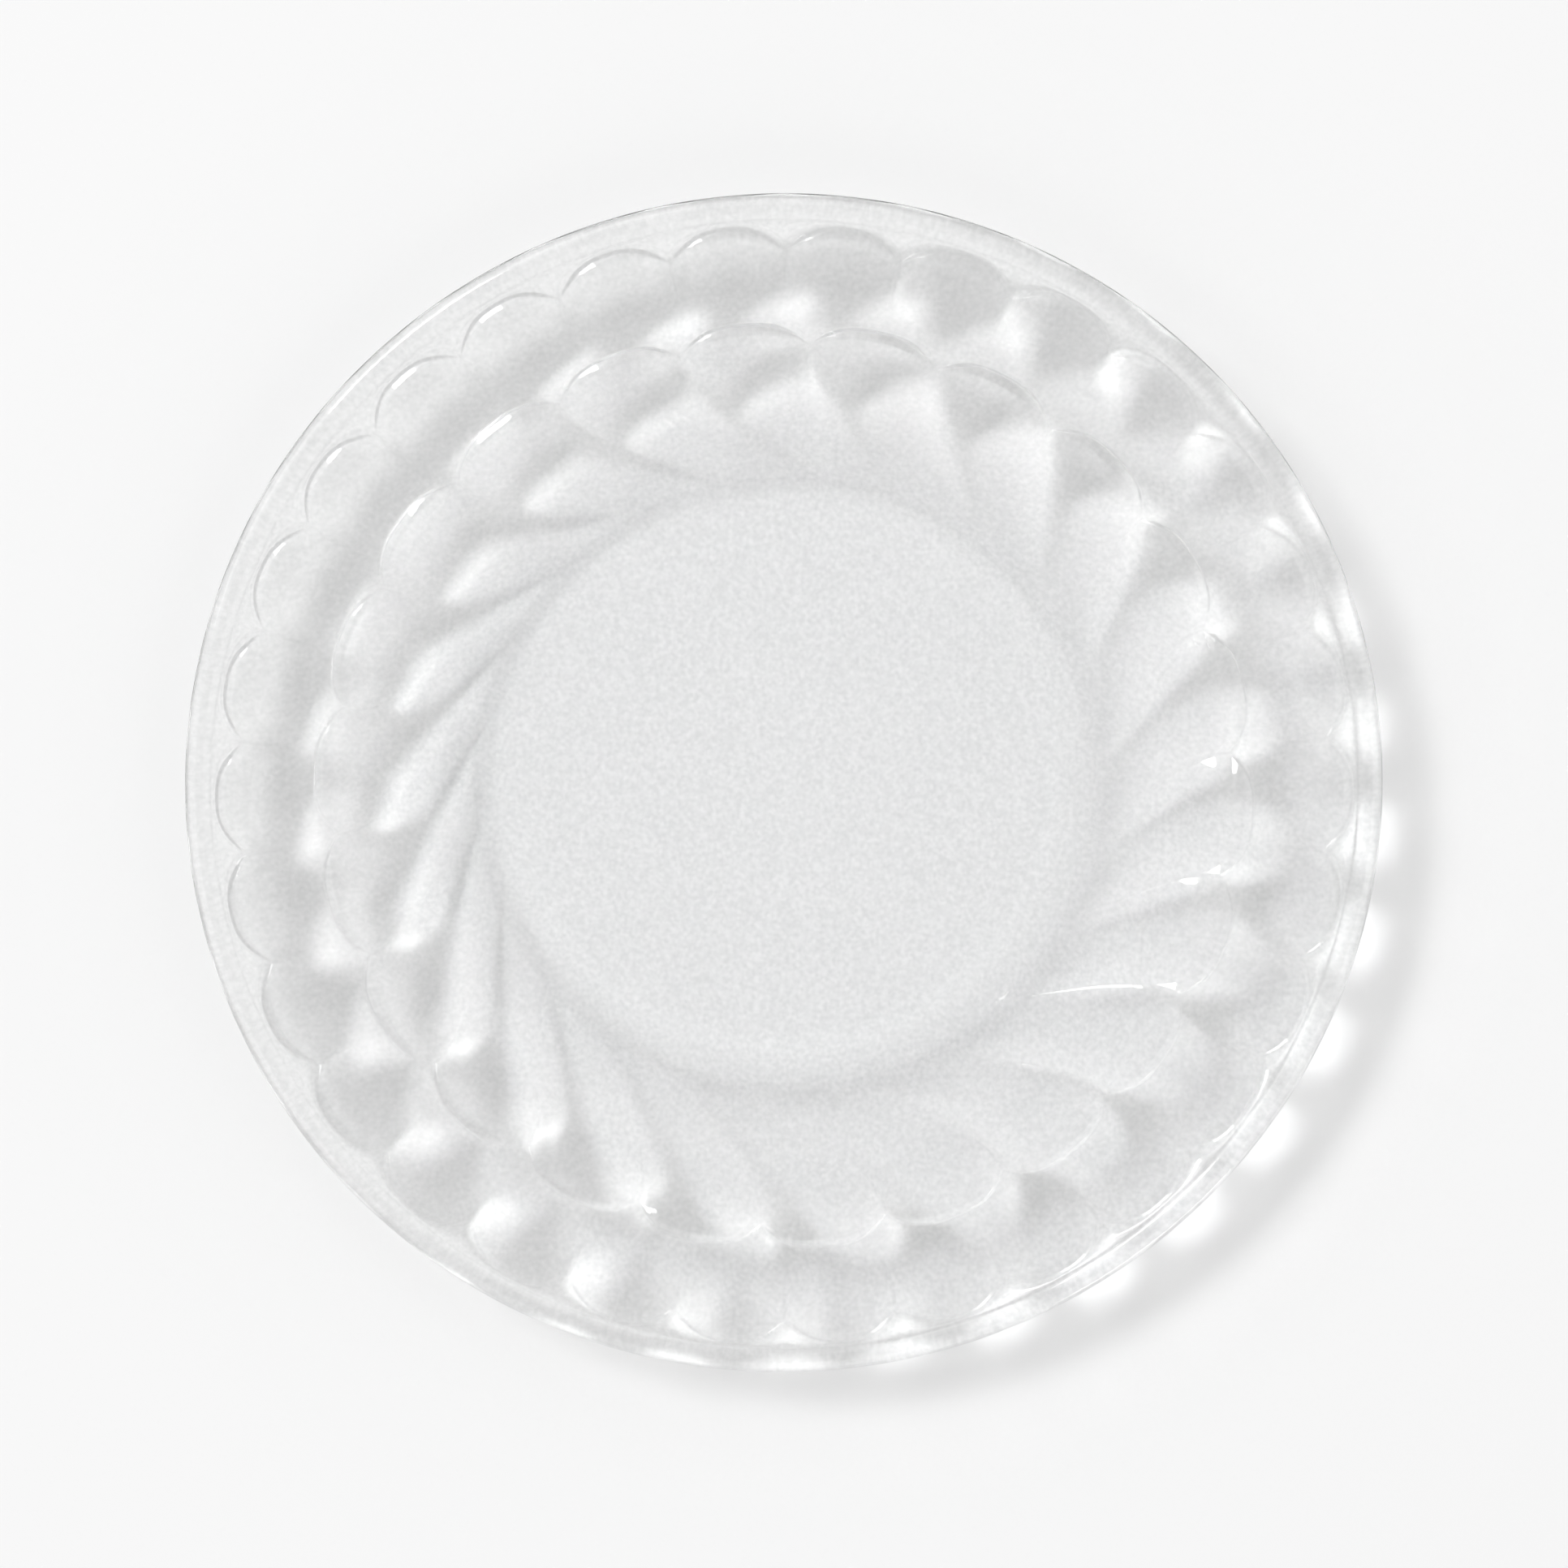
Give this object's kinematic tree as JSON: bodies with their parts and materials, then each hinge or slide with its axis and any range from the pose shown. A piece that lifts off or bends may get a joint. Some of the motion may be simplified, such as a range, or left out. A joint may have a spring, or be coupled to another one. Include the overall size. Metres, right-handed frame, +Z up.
{
  "type": "dessert plate",
  "caption": "Round clear pressed-glass dessert plate with a ring of rim scallops and swirled flutes that run into a flat well.",
  "frame": {"origin": "centre of the foot ring, on the table surface that the plate stands on", "axes": "+Z up; +X and +Y are the picture's right and up directions when the plate is seen from above"},
  "size_m": [0.2, 0.2, 0.017],
  "materials": {
    "clear_glass": "polished"
  },
  "bodies": {
    "root": {"glass_plate": "clear_glass"}
  },
  "joints": []
}
